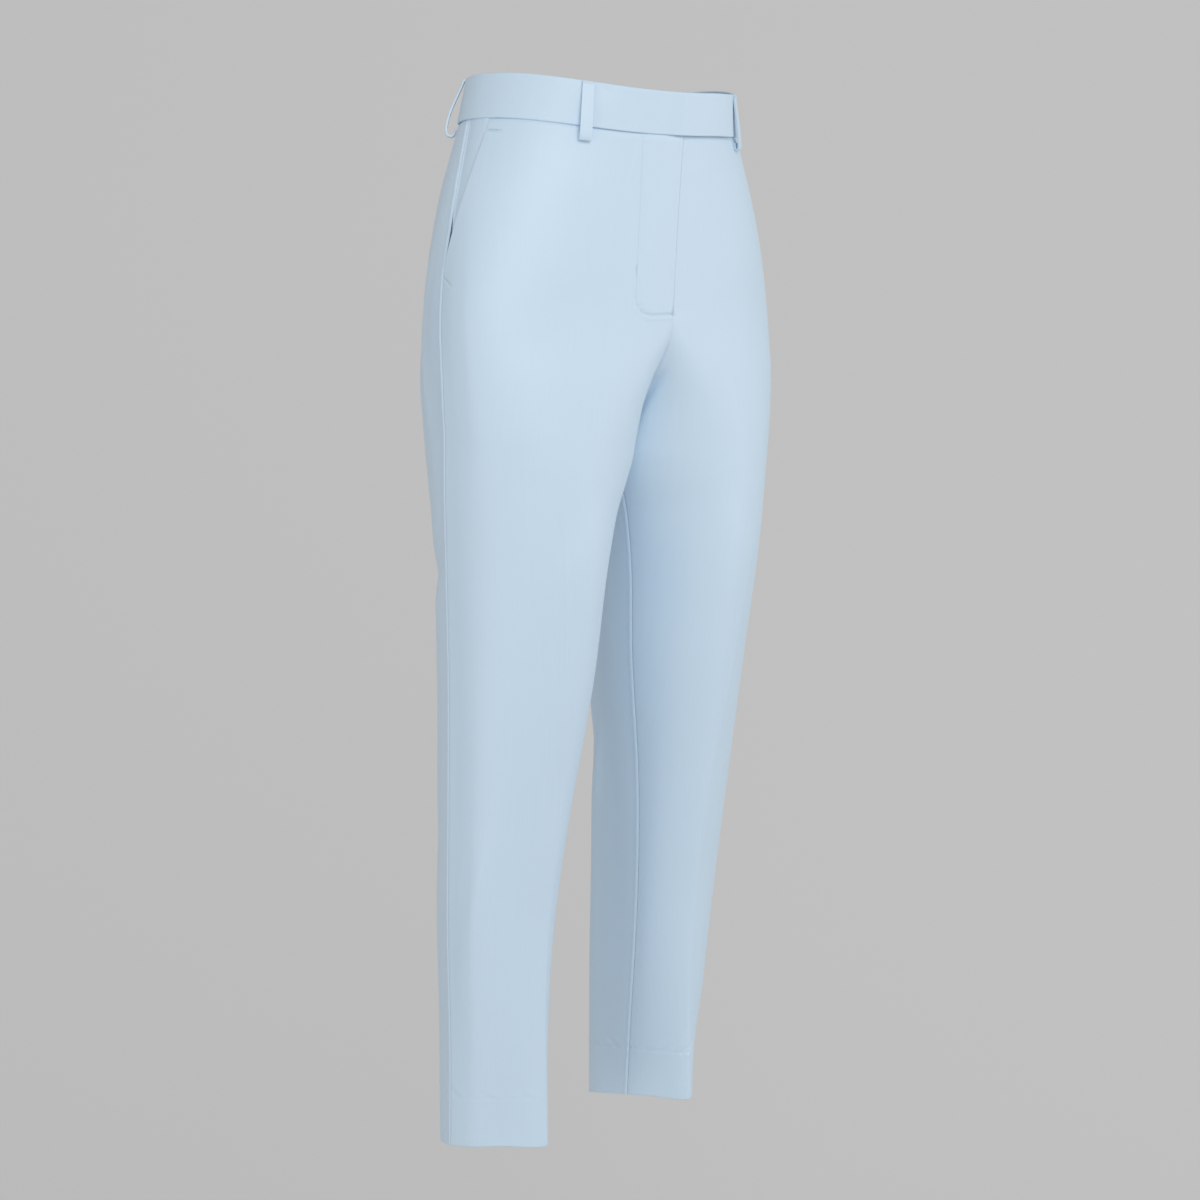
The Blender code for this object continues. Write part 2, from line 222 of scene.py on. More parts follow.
# ================================================================ the suiting
# Pale blue smooth suiting: fine threads with a soft sheen, a faint streak along the
# warp where the yarn is uneven, and edges that are folded in and pressed.
SUITING = (0.580, 0.728, 0.862)
SUITING_THREAD = 0.00042  # metres from one warp thread to the next
TWILL_SLOPE = 0.5  # the twill line climbs two threads for each one across
STREAKS = (700.0, 14.0, 1.0)  # uneven yarn, to the metre: across the warp and along it
CLOUDS, CLOUD_SHARE = 9.0, 0.6  # broad unevenness from pressing, to the metre, and its share
THREAD_HEIGHT, STREAK_HEIGHT = 0.3, 0.9  # shares of the relief
STREAK_ROUGHER = 0.12
RELIEF_DEPTH = 0.0001  # metres


def socket(group, name, kind, direction, default=None):
    """A named input or output on a node group."""
    item = group.interface.new_socket(name=name, in_out=direction, socket_type=kind)
    if default is not None:
        item.default_value = default


def math_node(tree, operation, first, second=None):
    """A math node, each side a link or a number; gives its output."""
    node = tree.nodes.new("ShaderNodeMath")
    node.operation = operation
    for slot, value in zip(node.inputs, (first, second)):
        if value is None:
            continue
        if isinstance(value, (int, float)):
            slot.default_value = value
        else:
            tree.links.new(value, slot)
    return node.outputs[0]


def woven_group():
    """Woven cloth from its UV in metres: colour, roughness and normal of warp and weft."""
    group = bpy.data.node_groups.new("woven suiting", "ShaderNodeTree")
    socket(group, "Cloth UV", "NodeSocketVector", "INPUT")
    socket(group, "Colour", "NodeSocketColor", "INPUT", (*SUITING, 1.0))
    socket(group, "Thread", "NodeSocketFloat", "INPUT", SUITING_THREAD)
    socket(group, "Streaks", "NodeSocketFloat", "INPUT", 0.05)
    socket(group, "Roughness", "NodeSocketFloat", "INPUT", 0.6)
    socket(group, "Relief", "NodeSocketFloat", "INPUT", 0.35)
    socket(group, "Colour", "NodeSocketColor", "OUTPUT")
    socket(group, "Roughness", "NodeSocketFloat", "OUTPUT")
    socket(group, "Normal", "NodeSocketVector", "OUTPUT")
    nodes, links = group.nodes, group.links
    entry, leave = nodes.new("NodeGroupInput"), nodes.new("NodeGroupOutput")

    split = nodes.new("ShaderNodeSeparateXYZ")
    links.new(entry.outputs["Cloth UV"], split.inputs[0])
    per_thread = math_node(group, "DIVIDE", 2 * pi, entry.outputs["Thread"])
    across = math_node(group, "MULTIPLY", split.outputs["X"], per_thread)
    along = math_node(group, "MULTIPLY", split.outputs["Y"], per_thread)
    twill = math_node(group, "ADD", across, math_node(group, "MULTIPLY", along, TWILL_SLOPE))
    warp = math_node(group, "SINE", across)
    diagonal = math_node(group, "SINE", twill)
    weave = math_node(group, "ADD", math_node(group, "MULTIPLY", warp, THREAD_HEIGHT),
                      math_node(group, "MULTIPLY", diagonal, THREAD_HEIGHT))

    stretch = nodes.new("ShaderNodeMapping")  # streaks run along the warp
    stretch.inputs["Scale"].default_value = STREAKS
    streaks = nodes.new("ShaderNodeTexNoise")
    streaks.inputs["Scale"].default_value = 1.0
    streaks.inputs["Detail"].default_value = 3.0
    links.new(entry.outputs["Cloth UV"], stretch.inputs["Vector"])
    links.new(stretch.outputs[0], streaks.inputs["Vector"])
    broad = nodes.new("ShaderNodeTexNoise")  # faint broad unevenness from pressing
    broad.inputs["Scale"].default_value = CLOUDS
    broad.inputs["Detail"].default_value = 2.0
    links.new(entry.outputs["Cloth UV"], broad.inputs["Vector"])

    uneven = math_node(group, "SUBTRACT", streaks.outputs["Fac"], 0.5)
    cloudy = math_node(group, "SUBTRACT", broad.outputs["Fac"], 0.5)
    sway = math_node(group, "ADD", uneven, math_node(group, "MULTIPLY", cloudy, CLOUD_SHARE))
    shade = math_node(group, "MULTIPLY_ADD", sway, entry.outputs["Streaks"])
    shade.node.inputs[2].default_value = 1.0
    tint = nodes.new("ShaderNodeVectorMath")
    tint.operation = "SCALE"
    links.new(entry.outputs["Colour"], tint.inputs[0])
    links.new(shade, tint.inputs["Scale"])
    links.new(tint.outputs[0], leave.inputs["Colour"])

    rough = math_node(group, "MULTIPLY_ADD", uneven, STREAK_ROUGHER)
    links.new(entry.outputs["Roughness"], rough.node.inputs[2])
    links.new(rough, leave.inputs["Roughness"])

    height = math_node(group, "ADD", weave,
                       math_node(group, "MULTIPLY", uneven, STREAK_HEIGHT))
    relief = nodes.new("ShaderNodeBump")
    relief.inputs["Distance"].default_value = RELIEF_DEPTH
    links.new(entry.outputs["Relief"], relief.inputs["Strength"])
    links.new(height, relief.inputs["Height"])
    links.new(relief.outputs["Normal"], leave.inputs["Normal"])
    return group


woven = woven_group()


def cloth_material(name, colour, roughness, sheen, relief):
    """A Principled cloth whose colour, roughness and normal come from the woven group."""
    mat = bpy.data.materials.new(name)
    mat.use_nodes = True
    tree = mat.node_tree
    shader = tree.nodes["Principled BSDF"]
    shader.inputs["Specular IOR Level"].default_value = 0.8
    shader.inputs["Sheen Weight"].default_value = sheen
    shader.inputs["Sheen Roughness"].default_value = 0.45
    shader.inputs["Sheen Tint"].default_value = (0.90, 0.96, 1.0, 1.0)
    place = tree.nodes.new("ShaderNodeUVMap")
    place.uv_map = "cloth"
    weave = tree.nodes.new("ShaderNodeGroup")
    weave.node_tree = woven
    weave.inputs["Colour"].default_value = (*colour, 1.0)
    weave.inputs["Roughness"].default_value = roughness
    weave.inputs["Relief"].default_value = relief
    tree.links.new(place.outputs[0], weave.inputs["Cloth UV"])
    tree.links.new(weave.outputs["Colour"], shader.inputs["Base Color"])
    tree.links.new(weave.outputs["Roughness"], shader.inputs["Roughness"])
    tree.links.new(weave.outputs["Normal"], shader.inputs["Normal"])
    return mat


suiting = cloth_material("pale blue suiting", SUITING, 0.50, 0.08, 0.35)


def cloth_grid(name, points, side, thickness, uv, material, bevel=0.0):
    """A grid of points in mm as a piece of cloth, with its wall put on toward the body.

    Rows run down and columns toward the back; side +1 mirrors it to the wearer's left.
    uv is the same grid in metres of flat cloth.
    """
    place = leaned(points * np.array([-side, 1.0, 1.0])) * MM
    rows, columns = points.shape[:2]
    index = np.arange(rows * columns).reshape(rows, columns)
    corners = [index[:-1, :-1], index[:-1, 1:], index[1:, 1:], index[1:, :-1]]
    if side > 0:
        corners.reverse()
    faces = np.stack(corners, -1).reshape(-1, 4)
    mesh = bpy.data.meshes.new(name)
    mesh.vertices.add(rows * columns)
    mesh.vertices.foreach_set("co", place.reshape(-1).astype(np.float32))
    mesh.loops.add(faces.size)
    mesh.loops.foreach_set("vertex_index", faces.reshape(-1).astype(np.int32))
    mesh.polygons.add(len(faces))
    mesh.polygons.foreach_set("loop_start", np.arange(0, faces.size, 4, dtype=np.int32))
    mesh.update(calc_edges=True)
    mesh.validate()
    flat = mesh.uv_layers.new(name="cloth")
    flat.data.foreach_set("uv", uv.reshape(-1, 2)[faces.reshape(-1)].reshape(-1).astype(np.float32))
    mesh.shade_smooth()
    mesh.materials.append(material)
    obj = bpy.data.objects.new(name, mesh)
    bpy.context.scene.collection.objects.link(obj)
    wall = obj.modifiers.new("wall", "SOLIDIFY")
    wall.thickness, wall.offset = thickness * MM, -1.0
    if bevel:
        soft = obj.modifiers.new("soft edge", "BEVEL")
        soft.width, soft.segments = bevel * MM, 3
        soft.limit_method, soft.angle_limit = "ANGLE", radians(50)
    return obj


def flat_uv(points, column):
    """UV in metres: length of cloth across from one column, and down along that column."""
    across = np.linalg.norm(np.diff(points, axis=1), axis=-1)
    across = np.concatenate([np.zeros((len(points), 1)), np.cumsum(across, axis=1)], axis=1)
    across = across - across[:, column:column + 1]
    down = np.linalg.norm(np.diff(points[:, column], axis=0), axis=-1)
    down = np.concatenate([[0.0], np.cumsum(down)])
    return np.stack([across, np.broadcast_to(-down[:, None], across.shape)], -1) * MM


def dress(piece, node):
    """The piece stands for its solid and moves with the garment."""
    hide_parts(node)
    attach(piece, "root")
    return piece


# ================================================================ the four panels
# Two fronts and two backs, each cut full length in one.  They are sewn at the side,
# inseam and centre with the seams pressed open, so each edge rolls in to its stitching.
# A crease is pressed down each leg, and the hem is turned up inside and blind-stitched.
PANEL_CLOTH = 0.9  # thickness of one layer
CREASE = 0.45  # where the crease lies between a panel's inner edge (0) and outer edge (1)
PRESSED = (330.0, 520.0)  # drops over which the crease comes in
CREASE_RIDGE, CREASE_SOFT, CREASE_ROUND = 0.9, 5.0, 0.35  # height, fading, rounded top
CALM_INNER, CALM_OUTER = 25.0, 18.0  # folds die out this near the inner and outer edge
SEAM_DEPTH, SEAM_SOFT = 0.7, 0.9  # each seam dips by this, and over this
SEAM_LIP = (0.55, 2.4, 1.7)  # the backs roll over their seam allowance: height, place, width
PUCKER = (0.10, 4.0, 4.0)  # gathering along the stitches: height, mm from the seam, width
SIDE_CREST, SIDE_SOFT = 2.3, 12.0  # the side seam's layers stand out down the leg
CREST_FROM = (185.0, 300.0)  # drops over which they come in
SIDE_EVEN, SIDE_SPAN = 0.65, 15.0  # carries the ring's turn at the side gently into its back
EVEN_FROM = (200.0, 400.0)  # drops over which that comes in
FAR = 1000.0  # mm, so far from the side that nothing is added
CROTCH_IN, CROTCH_OUT = (250.0, 272.0), (315.0, 345.0)  # drops where the tuck comes and goes
CROTCH_TUCK = (7.0, 6.0)  # mm from the seam, and width
CROTCH_DEEP = {-1: 3.0, 1: 4.5}  # on the right and on the left
HEM_CREASE = (800.0, 965.0, 16.0, 4.2)  # drops, width and height: the front crease stands out
HEM_FLAT = (840.0, 950.0, 38.0, 18.0, 4.5)  # drops, mm outside that crease, width and depth
BAND_SHADE = (1.5, 1.9)  # how far, and over what, the cloth dips in under the waistband
DART_END, DART_DEEP, DART_WIDE = (95.0, 150.0), 0.8, 1.2
POCKET_DEPTH = 174.0  # drop of the pocket mouth's lower end
POCKET_SLANT = radians(17.0)  # how far before the side seam it starts at the waist seam
POCKET_GAPE, GAPE_SOFT = 1.6, 16.0  # the mouth's folded edge stands off, fading forwards
HEM_DEPTH = 46.0
HEM_FOLD = 1.1  # radius of the hem's folded edge
HEM_PULL, HEM_STITCH = {-1: 0.35, 1: 0.80}, 1.7  # the stitches' dip, right and left; width
HEM_PICK, HEM_SWAY = 6.0, 23.0  # mm between picked-up threads, and how that drifts
HEM_PATCH = 11.0  # mm over which the stitching is tighter and looser
HEM_CRUMPLE = {-1: 0.22, 1: 0.45}  # height of the small wrinkles, on the right and the left
HEM_CRUMPLED = (-5.0, 7.0)  # mm below the stitches, and width
HEM_WRINKLE = 2.8  # mm a radian of those wrinkles
FLY_WIDTH, FLY_END, FLY_CORNER = 47.0, 206.0, 20.0
FLY_LAP = 0.5  # the right front's edge past the centre front
LAP_SHARES = (1.0, 0.8, 0.6)  # of the lap, for the edge and the two columns beside it
FLY_RAISE, RAISE_END = 0.35, (-2.8, 1.2)  # the fly's inner layers lift the right front
FLY_CURVE = (FLY_END - 24, FLY_END - 3)  # drops over which the fly's line turns and deepens
FLY_DIP, FLY_CURVE_DIP, FLY_DIP_PLACE, FLY_DIP_WIDE = 0.12, 0.75, -0.4, 1.3
FLY_LIP = (0.35, 2.4, 1.6)  # the roll outside the curve: height, mm from the line, width
FLY_EDGE, EDGE_SOFT = 0.35, 3.0  # the right front's edge is pressed flat
FLY_SINK, FLY_FADE = 0.8, 22.0  # and the left front lies lower under it
CENTRE_SEWN = (FLY_END + 6, FLY_END + 48)  # drops where the seam closes below the fly
SIDE_SEWN = (POCKET_DEPTH - 4, POCKET_DEPTH + 6)  # and below the pocket mouth

POCKET_TACKS = (
    # drop at the edge, at the other end, and its reach from the edge
    (48.0, 49.0, 14.0),
    (172.0, 180.0, 14.0),
)
TACK_DEEP, TACK_WIDE = 0.9, 1.1
TACK_LIP = (0.4, 2.4, 1.4)  # the roll below a tack: height, place, width

CREASES = (
    # drop  front  back
    (0, 132, 228),
    (60, 131, 229),
    (250, 120, 240),
    (480, 109, 252),
    (560, 105, 258),
    (630, 98, 264),
    (760, 92, 269),
    (950, 90, 270),
)

# Soft ridges (+) and troughs (-).  Across is mm from the crease, + toward the side seam.
FOLDS = (
    # panel         drop0 across0 drop1 across1 width  height
    ("back_right", 120, 70, 330, 60, 9.0, 2.2),
    ("back_right", 150, 43, 360, 29, 10.0, 1.8),
    ("back_right", 400, 85, 470, -26, 15.0, -3.5),
    ("back_right", 470, -60, 570, -22, 8.0, 2.0),
    ("back_right", 530, -58, 640, -12, 9.0, 1.8),
    ("back_right", 600, -51, 690, 51, 18.0, -3.0),
    ("back_left", 130, 63, 340, 53, 9.0, 2.0),
    ("back_left", 160, 32, 350, 22, 10.0, 1.6),
    ("back_left", 410, 77, 465, -26, 15.0, -3.5),
    ("back_left", 460, -62, 555, -25, 8.0, 2.6),
    ("back_left", 505, -60, 625, -14, 9.0, 3.1),
    ("back_left", 575, -56, 700, -20, 9.0, 2.8),
    ("back_left", 560, -51, 680, 26, 16.0, -2.5),
    ("front_right", 335, -60, 420, 17, 14.0, -0.8),
    ("front_right", 270, 4, 535, 48, 20.0, 1.9),
    ("front_right", 520, 46, 800, 76, 16.0, 1.6),
    ("front_right", 640, 62, 760, 76, 7.0, 0.9),
    ("front_left", 340, -60, 430, 26, 14.0, -0.8),
    ("front_left", 280, 6, 540, 50, 20.0, 1.2),
    ("front_left", 530, 48, 790, 74, 16.0, 1.0),
)


def rows_between(*stretches):
    """Values from stretches of (start, end, count), joined end to end."""
    parts = [np.linspace(a, b, n, endpoint=False) for a, b, n in stretches]
    return np.append(np.concatenate(parts), stretches[-1][1])


def closer_at_ends(count, pull):
    """Steps from 0 to 1, shorter at both ends: t - pull sin(2 pi t) / 2 pi."""
    t = np.linspace(0.0, 1.0, count + 1)
    return t - pull * np.sin(2 * pi * t) / (2 * pi)


def pocket_mouth(drop):
    """Turn of the slanted mouth: before the side seam by the slant times (1 - t^1.25)^1.75."""
    t = np.clip((drop - BAND) / (POCKET_DEPTH - BAND), 0.0, 1.0)
    return side_turn(drop) - POCKET_SLANT * (1.0 - t**1.25) ** 1.75


def fly_distance(x, drop):
    """Distance from the J-shaped fly line, - inside: a strip with one rounded corner."""
    beside = np.abs(x) - (FLY_WIDTH - FLY_CORNER)
    below = drop - (FLY_END - FLY_CORNER)
    outside = np.hypot(np.maximum(beside, 0.0), np.maximum(below, 0.0))
    return outside + np.minimum(np.maximum(beside, below), 0.0) - FLY_CORNER


def fold_height(name, drop, across):
    """Sum of the panel's folds: a bell across each line, fading at the line's ends."""
    total = np.zeros_like(drop)
    for panel, d0, a0, d1, a1, width, height in FOLDS:
        if panel != name:
            continue
        length = (a1 - a0) ** 2 + (d1 - d0) ** 2
        t = np.clip(((across - a0) * (a1 - a0) + (drop - d0) * (d1 - d0)) / length, 0.0, 1.0)
        gap = np.hypot(across - a0 - t * (a1 - a0), drop - d0 - t * (d1 - d0))
        total += height * np.exp(-((gap / width) ** 2)) * np.sin(pi * np.clip(t, 0.08, 0.92))
    return total


def drape(drop, across, phase):
    """Faint broad unevenness of hanging cloth, mostly down its length."""
    return (0.35 * np.sin(across / 17.0 + drop / 160.0 + phase)
            + 0.25 * np.sin(across / 29.0 - drop / 95.0 + 2.1 * phase)
            + 0.15 * np.sin(drop / 41.0 + across / 60.0 + 3.7 * phase))


def pucker(drop, phase):
    """Small uneven gathering along a line of stitches."""
    return (np.sin(drop / 2.6 + phase) * np.sin(drop / 17.0 + 2 * phase)
            + 0.6 * np.sin(drop / 4.3 + 1.7 * phase))


# Down the cloth: under the waistband, to the fly's end, to the hem's stitches, to its
# fold, round the fold, and back up inside to the turned-up edge.
CLOTH_DOWN = rows_between(
    (BAND - 5, BAND + 14, 24), (BAND + 14, 165, 50), (165, 212, 56),
    (212, LENGTH - HEM_DEPTH - 6, 205), (LENGTH - HEM_DEPTH - 6, LENGTH - HEM_DEPTH + 6, 12),
    (LENGTH - HEM_DEPTH + 6, LENGTH - 6, 11), (LENGTH - 6, LENGTH, 6),
    (LENGTH, LENGTH + pi * HEM_FOLD, 6), (LENGTH + pi * HEM_FOLD, LENGTH + HEM_DEPTH, 12))
INSIDE_HALF, OUTSIDE_HALF = 48, 58  # columns each side of the crease
PANEL_RUNS = np.append(CREASE * closer_at_ends(INSIDE_HALF, 0.8)[:-1],
                       CREASE + (1 - CREASE) * closer_at_ends(OUTSIDE_HALF, 0.8))


def turned_up(down):
    """Drop and depth below the surface of cloth that folds round the hem and goes back up."""
    past = down - LENGTH
    angle = np.clip(past / HEM_FOLD, 0.0, pi)
    drop = np.where(past <= 0, down, LENGTH + HEM_FOLD * np.sin(angle)
                    - np.maximum(past - pi * HEM_FOLD, 0.0))
    return drop, np.where(past <= 0, 0.0, HEM_FOLD * (1.0 - np.cos(angle)))


def bell(value, middle, width):
    """A soft ridge across value: exp(-((value - middle) / width)^2)."""
    return np.exp(-(((value - middle) / width) ** 2))


def crease_lift(drop, across, back):
    """The pressed ridge, exp(-distance); at the hem the fronts' stands out, its flank in."""
    ridge = np.exp(-np.hypot(across, CREASE_ROUND) / CREASE_SOFT)
    lift = CREASE_RIDGE * smooth_step(drop, *PRESSED) * ridge
    if not back:
        d0, d1, wide, high = HEM_CREASE
        lift += high * smooth_step(drop, d0, d1) * bell(across, 0.0, wide)
        d0, d1, place, wide, deep = HEM_FLAT
        lift -= deep * smooth_step(drop, d0, d1) * bell(across, place, wide)
    return lift


def side_lift(drop, turn, depth, from_outer):
    """The side: b exp(-b^2) of the distance b behind the ring's middle, and a seam crest."""
    beside = np.where(np.cos(turn) < 0, depth - through(RINGS, 4, drop), FAR) / SIDE_SPAN
    even = SIDE_EVEN * smooth_step(drop, *EVEN_FROM) * beside * np.exp(-(beside**2))
    return even + SIDE_CREST * smooth_step(drop, *CREST_FROM) * np.exp(-from_outer / SIDE_SOFT)


def seam_lift(drop, from_inner, from_outer, side, back, phase):
    """Both seams: a dip exp(-distance), the backs' lip beside it, puckers; fronts' tuck."""
    lift = np.zeros_like(drop)
    sewn_in = sewn_out = np.ones_like(drop)
    if not back:
        sewn_in, sewn_out = smooth_step(drop, *CENTRE_SEWN), smooth_step(drop, *SIDE_SEWN)
        tuck = smooth_step(drop, *CROTCH_IN) * fade(drop, *CROTCH_OUT)
        lift -= CROTCH_DEEP[side] * tuck * bell(from_inner, *CROTCH_TUCK)
    for sewn, gap, beat in ((sewn_in, from_inner, 0.0), (sewn_out, from_outer, 1.1)):
        lift -= sewn * SEAM_DEPTH * np.exp(-gap / SEAM_SOFT)
        if back:
            lift += sewn * SEAM_LIP[0] * bell(gap, *SEAM_LIP[1:])
        lift += sewn * PUCKER[0] * pucker(drop, phase + beat) * bell(gap, *PUCKER[1:])
    return lift


def hem_lift(drop, across, side, phase):
    """The blind hem: dips where stitches pick the cloth up, and slanted wrinkles above."""
    below = drop - LENGTH + HEM_DEPTH
    picks = 0.5 + 0.5 * np.cos(2 * pi * across / HEM_PICK + 2.0 * np.sin(across / HEM_SWAY))
    patchy = 0.35 + 0.65 * np.sin(across / HEM_PATCH + phase) ** 2
    wrinkles = bell(below, *HEM_CRUMPLED) * np.sin(across / HEM_WRINKLE + 0.5 * drop + phase)
    pulled = HEM_PULL[side] * bell(below, 0.0, HEM_STITCH) * picks
    return (HEM_CRUMPLE[side] * wrinkles - pulled) * patchy


def pocket_lift(drop, from_outer):
    """The mouth's edge stands off as half a sine wave; each tack is a dip with a roll below."""
    at_mouth = np.clip((drop - BAND) / (POCKET_DEPTH - BAND), 0.0, 1.0)
    lift = POCKET_GAPE * np.sin(pi * at_mouth) * np.exp(-from_outer / GAPE_SOFT)
    for d0, d1, reach in POCKET_TACKS:
        below = drop - (d0 + (d1 - d0) * from_outer / reach)
        along = fade(from_outer, reach - 1.0, reach + 2.0)
        lift -= TACK_DEEP * along * bell(below, 0.0, TACK_WIDE)
        lift += TACK_LIP[0] * along * bell(below, *TACK_LIP[1:])
    return lift


def fly_lift(drop, x, from_inner, side):
    """The right front is raised inside the fly's line, which dips; the left lies lower."""
    if side > 0:
        return -FLY_SINK * fade(drop, FLY_END - 6, FLY_END + 6) * bell(x, 0.0, FLY_FADE)
    from_line = fly_distance(x, drop)
    curve = smooth_step(drop, *FLY_CURVE)
    lift = FLY_RAISE * fade(from_line, *RAISE_END)
    lift -= (FLY_DIP + FLY_CURVE_DIP * curve) * bell(from_line, FLY_DIP_PLACE, FLY_DIP_WIDE)
    lift += FLY_LIP[0] * curve * bell(from_line, *FLY_LIP[1:])
    return lift - FLY_EDGE * fade(drop, FLY_END - 8, FLY_END) * np.exp(-from_inner / EDGE_SOFT)


def panel(name, side, back):
    """One panel: the skin between its two seams, moved out by the sum of its lifts."""
    down, run = np.meshgrid(CLOTH_DOWN, PANEL_RUNS, indexing="ij")
    drop, sunk = turned_up(down)
    inner = inner_turn(drop, back)
    edge = side_turn(drop)
    if not back:
        edge = np.where(drop < POCKET_DEPTH, pocket_mouth(drop), edge)
    crease = np.radians(through(CREASES, 2 if back else 1, drop))
    turn = np.where(run < CREASE, inner + (crease - inner) * run / CREASE,
                    crease + (edge - crease) * (run - CREASE) / (1 - CREASE))
    points, out = skin(drop, turn), outward(drop, turn)

    across = flat_uv(points, INSIDE_HALF)[..., 0] / MM
    from_inner, from_outer = across - across[:, :1], across[:, -1:] - across
    phase = 1.3 * (side > 0) + 2.4 * back  # so that no two panels drape alike
    calm = smooth_step(from_inner, 0.0, CALM_INNER) * smooth_step(from_outer, 0.0, CALM_OUTER)
    lift = (fold_height(name, drop, across) + drape(drop, across, phase)) * calm
    lift += crease_lift(drop, across, back)
    lift += side_lift(drop, turn, points[..., 1], from_outer)
    lift -= BAND_SHADE[0] * np.exp(-np.maximum(drop - BAND, 0.0) / BAND_SHADE[1])
    lift += seam_lift(drop, from_inner, from_outer, side, back, phase)
    lift += hem_lift(drop, across, side, phase)
    if back:  # one dart takes in the waist above the crease
        lift -= DART_DEEP * fade(drop, *DART_END) * np.exp(-np.abs(across) / DART_WIDE)
    else:
        lift += pocket_lift(drop, from_outer)
        lift += fly_lift(drop, points[..., 0], from_inner, side)

    points = points + out * (lift - sunk)[..., None]
    centre = drop[:, 0] < RISE
    points[centre, :, 0] = np.minimum(points[centre, :, 0], 0.0)
    points[centre, 0, 0] = 0.0
    if side < 0 and not back:
        lap = FLY_LAP * fade(drop[:, 0], FLY_END - 10, FLY_END)
        points[:, :3, 0] += lap[:, None] * np.array(LAP_SHARES)
    uv = flat_uv(points, INSIDE_HALF)
    if back:  # columns run toward the back, so the back's start at the side seam
        points, uv = points[:, ::-1], uv[:, ::-1]
    return cloth_grid("cloth_" + name, points, side, PANEL_CLOTH, uv, suiting)


panels = {}
for side, word in ((-1, "right"), (1, "left")):
    panels["front_" + word] = dress(
        panel("front_" + word, side, False), "front_" + word)
    panels["back_" + word] = dress(
        panel("back_" + word, side, True), "back_" + word)


# ================================================================ the pocket facings
# Behind each slanted pocket mouth the same cloth carries on to the side seam.  It lies
# lower than the front, whose folded edge stands a little off it.
FACING_UNDER = 24.0  # how far the facing goes on under the front
FACING_SINK, FACING_RISE = 1.7, 1.6  # below the skin beside the seam, and up again from there
FACING_PARTED = 3.8  # how far it lies below where it parts from the side seam
FACING_TUCK = 1.6  # and how much further under the front
FACING_GAP = (113.0, 153.0)  # drops between which it parts from the side seam
FACING_STEP, FACING_SLOPE = 1.6, 24.0  # mm from the seam where it is down, and up again
FACING_EASE, EASE_SPAN = 0.25, 5.0  # faint unevenness across it


def facing(side):
    """The skin from under the pocket mouth to the side seam, sunk below the front."""
    drops = rows_between((BAND - 3, POCKET_DEPTH + 8, 70))
    drop, run = np.meshgrid(drops, closer_at_ends(24, 0.6), indexing="ij")
    start = arc(drop, pocket_mouth(drop), -FACING_UNDER)
    turn = start + (side_turn(drop) - start) * run
    points, out = skin(drop, turn), outward(drop, turn)
    across = flat_uv(points, 0)[..., 0] / MM
    from_seam = across[:, -1:] - across
    parted = smooth_step(drop, *FACING_GAP)
    rising = FACING_RISE * np.clip((from_seam - FACING_STEP) / FACING_SLOPE, 0.0, 1.0)
    sink = (FACING_SINK * smooth_step(from_seam, 0.0, FACING_STEP) - rising) * (1.0 - parted)
    sink += FACING_PARTED * parted
    sink += FACING_TUCK * smooth_step(FACING_UNDER - across, -2.0, 0.5)
    sink += SEAM_DEPTH * np.exp(-from_seam / SEAM_SOFT) * (1.0 - parted)
    sink -= FACING_EASE * np.sin(from_seam / EASE_SPAN) * np.sin(pi * run)
    points = points - out * sink[..., None]
    name = "facing_" + ("right" if side < 0 else "left")
    return cloth_grid(name, points, side, PANEL_CLOTH, flat_uv(points, 0), suiting)


for side, word in ((-1, "right"), (1, "left")):
    dress(facing(side), "pocket_facing_" + word)


# ================================================================ the waistband
# A straight band of folded cloth with a stiffener inside, in two halves joined at the
# centre back.  The right half runs on past the centre front as a plain tab over the
# left one, where a hook that doesn't show holds it.
BAND_THICK = 2.4
BAND_PROUD = 0.8  # how far its outer face stands off the panels' skin
BAND_CLEAR = 0.3  # between the tab and the left half
BAND_EASE, BAND_WAVE = 0.12, 23.0  # faint unevenness, and mm a radian of it
TAB_LENGTH = 83.0
TAB_RAMP = 24.0  # mm over which the tab rises on to the left half
BAND_DIMPLE = (6.0, radians(124.0), 6.0, 0.7)  # drop, turn, width and depth
DIMPLE_RADIUS = 105.0  # mm a radian of turn at the dimple


def waistband(side):
    """Half the band: the skin lifted, with a flat folded section; the right one laps."""
    drops = BAND * closer_at_ends(14, 0.5)
    turns = np.linspace(pi / 2, 1.5 * pi, 150)
    if side < 0:
        reach = np.linspace(-TAB_LENGTH, 0.0, 30)[:-1]
        turns = np.append(arc(np.full(29, BAND / 2), np.full(29, pi / 2), reach), turns)
    drop, turn = np.meshgrid(drops, turns, indexing="ij")
    points, out = all_round(drop, turn)
    uv = flat_uv(points, len(turns) - 1)
    ease = BAND_EASE * np.sin(uv[..., 0] / MM / BAND_WAVE) * np.sin(pi * drop / BAND)
    lift = BAND_PROUD + ease
    if side < 0:
        ramp = (turn < pi) * fade(-points[..., 0], 1.0, TAB_RAMP)
        lift = lift + (BAND_THICK + BAND_CLEAR) * ramp
        at, where, wide, deep = BAND_DIMPLE
        aside = (turn - where) * DIMPLE_RADIUS
        lift -= deep * np.exp(-((drop - at) ** 2 + aside**2) / wide**2)
    points = points + out * lift[..., None]
    points[:, -1, 0] = 0.0
    if side > 0:
        points[:, 0, 0] = 0.0
    name = "band_" + ("right" if side < 0 else "left")
    return cloth_grid(name, points, side, BAND_THICK, uv, suiting, bevel=0.9)


band_right = dress(waistband(-1), "waistband_right")
band_left = dress(waistband(1), "waistband_left")


